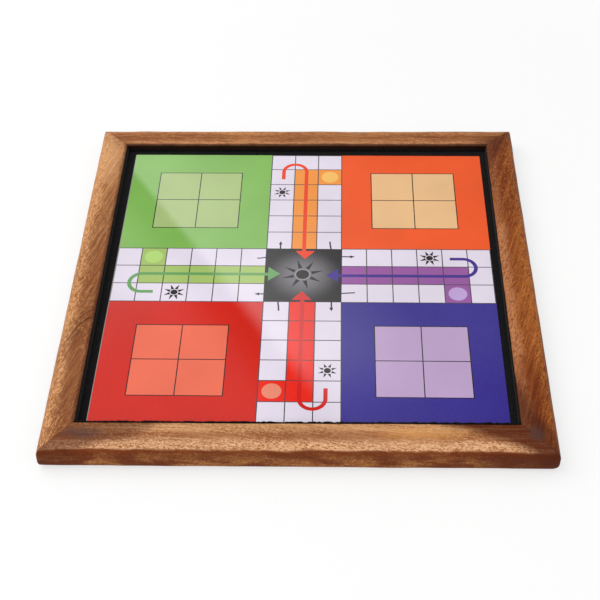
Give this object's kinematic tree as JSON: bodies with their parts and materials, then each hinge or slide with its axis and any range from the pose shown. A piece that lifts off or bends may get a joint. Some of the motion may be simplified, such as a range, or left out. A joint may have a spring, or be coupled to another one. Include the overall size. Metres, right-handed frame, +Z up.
{
  "type": "double-sided game board",
  "caption": "Square game board in a mitred wooden frame, recessed on both sides: a ludo field above and a numbered snakes and ladders field below.",
  "frame": {"origin": "on the surface the board stands on, under the middle of the frame", "axes": "+Z up through the ludo side, -Y the front, +X the right; the frame's four sides run along X and Y"},
  "size_m": [0.3048, 0.3048, 0.016],
  "materials": {
    "stained_wood": "brown stain under a thin satin lacquer, open pores, darker near the corners",
    "wood_filler": "matt, stained with the rails",
    "hardboard": "matt, hidden under the felt",
    "black_felt": "matt short-napped cloth",
    "pin_steel": "bright drawn wire",
    "ludo_print": "colour print under a clear gloss film",
    "snakes_print": "colour print under a clear gloss film"
  },
  "bodies": {
    "root": {"front_rail": "stained_wood", "right_rail": "stained_wood", "back_rail": "stained_wood", "left_rail": "stained_wood", "core_panel": "hardboard", "top_felt": "black_felt", "bottom_felt": "black_felt", "ludo_sheet": "ludo_print", "snakes_and_ladders_sheet": "snakes_print", "pin_front_left_1": "pin_steel", "pin_front_left_2": "pin_steel", "pin_front_right_1": "pin_steel", "pin_front_right_2": "pin_steel", "pin_back_left_1": "pin_steel", "pin_back_left_2": "pin_steel", "pin_back_right_1": "pin_steel", "pin_back_right_2": "pin_steel", "filler_front_left_1": "wood_filler", "filler_front_left_2": "wood_filler", "filler_front_right_1": "wood_filler", "filler_front_right_2": "wood_filler", "filler_back_left_1": "wood_filler", "filler_back_left_2": "wood_filler", "filler_back_right_1": "wood_filler", "filler_back_right_2": "wood_filler"}
  },
  "joints": []
}
